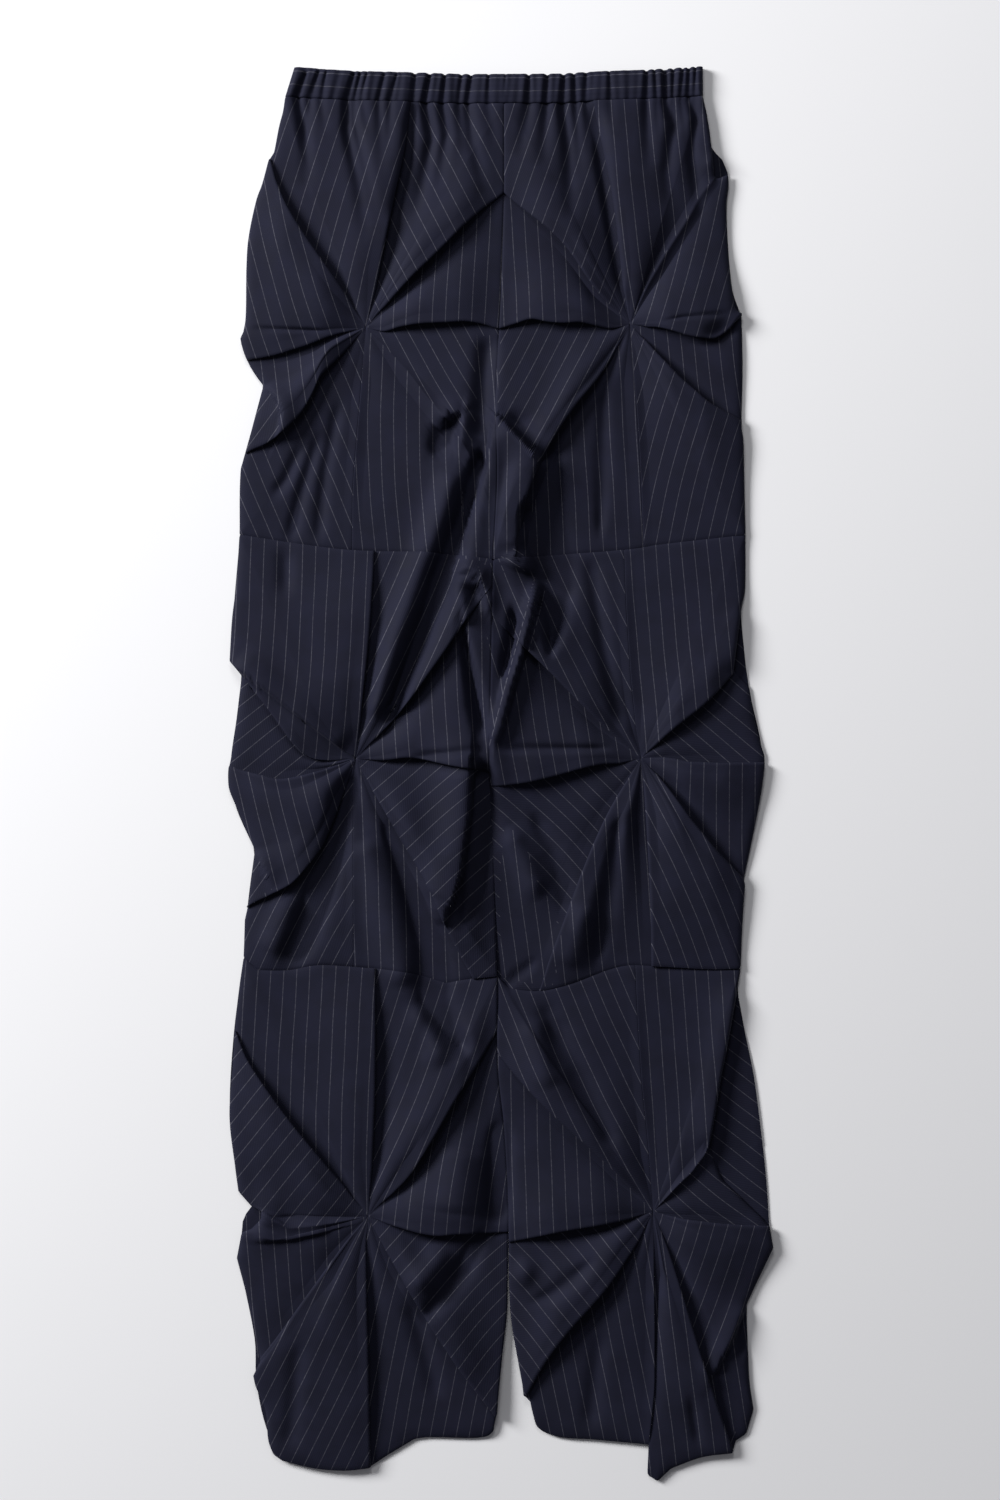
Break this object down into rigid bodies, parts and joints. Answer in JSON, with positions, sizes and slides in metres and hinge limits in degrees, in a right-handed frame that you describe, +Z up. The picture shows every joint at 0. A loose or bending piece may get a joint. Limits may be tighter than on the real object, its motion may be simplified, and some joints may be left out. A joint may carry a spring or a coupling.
{
  "type": "trousers",
  "caption": "Wide-leg pinstriped trousers with a gathered elastic waist and tiered legs folded into star-shaped tucks, laid flat with the front up.",
  "frame": {"origin": "centre of the bounding box at the surface the trousers lie on", "axes": "+Z up from the surface, +Y towards the waistband, +X across to the right seen from above"},
  "size_m": [0.4232, 1.102, 0.0143],
  "materials": {
    "waistband": "matt worsted wool suiting, navy with a fine pale pinstripe",
    "front_left_1_outer": "matt worsted wool suiting, navy with a fine pale pinstripe",
    "front_left_1_inner": "matt worsted wool suiting, navy with a fine pale pinstripe",
    "front_left_2_outer": "matt worsted wool suiting, navy with a fine pale pinstripe",
    "front_left_2_inner": "matt worsted wool suiting, navy with a fine pale pinstripe",
    "front_left_3_outer": "matt worsted wool suiting, navy with a fine pale pinstripe",
    "front_left_3_inner": "matt worsted wool suiting, navy with a fine pale pinstripe",
    "front_right_1_outer": "matt worsted wool suiting, navy with a fine pale pinstripe",
    "front_right_1_inner": "matt worsted wool suiting, navy with a fine pale pinstripe",
    "front_right_2_outer": "matt worsted wool suiting, navy with a fine pale pinstripe",
    "front_right_2_inner": "matt worsted wool suiting, navy with a fine pale pinstripe",
    "front_right_3_outer": "matt worsted wool suiting, navy with a fine pale pinstripe",
    "front_right_3_inner": "matt worsted wool suiting, navy with a fine pale pinstripe",
    "back_left_1": "matt worsted wool suiting, navy with a fine pale pinstripe",
    "back_left_2": "matt worsted wool suiting, navy with a fine pale pinstripe",
    "back_left_3": "matt worsted wool suiting, navy with a fine pale pinstripe",
    "back_right_1": "matt worsted wool suiting, navy with a fine pale pinstripe",
    "back_right_2": "matt worsted wool suiting, navy with a fine pale pinstripe",
    "back_right_3": "matt worsted wool suiting, navy with a fine pale pinstripe"
  },
  "bodies": {
    "root": {"waistband": "waistband", "front_left_1_outer": "front_left_1_outer", "front_left_1_inner": "front_left_1_inner", "front_left_2_outer": "front_left_2_outer", "front_left_2_inner": "front_left_2_inner", "front_left_3_outer": "front_left_3_outer", "front_left_3_inner": "front_left_3_inner", "front_right_1_outer": "front_right_1_outer", "front_right_1_inner": "front_right_1_inner", "front_right_2_outer": "front_right_2_outer", "front_right_2_inner": "front_right_2_inner", "front_right_3_outer": "front_right_3_outer", "front_right_3_inner": "front_right_3_inner", "back_left_1": "back_left_1", "back_left_2": "back_left_2", "back_left_3": "back_left_3", "back_right_1": "back_right_1", "back_right_2": "back_right_2", "back_right_3": "back_right_3"}
  },
  "joints": []
}
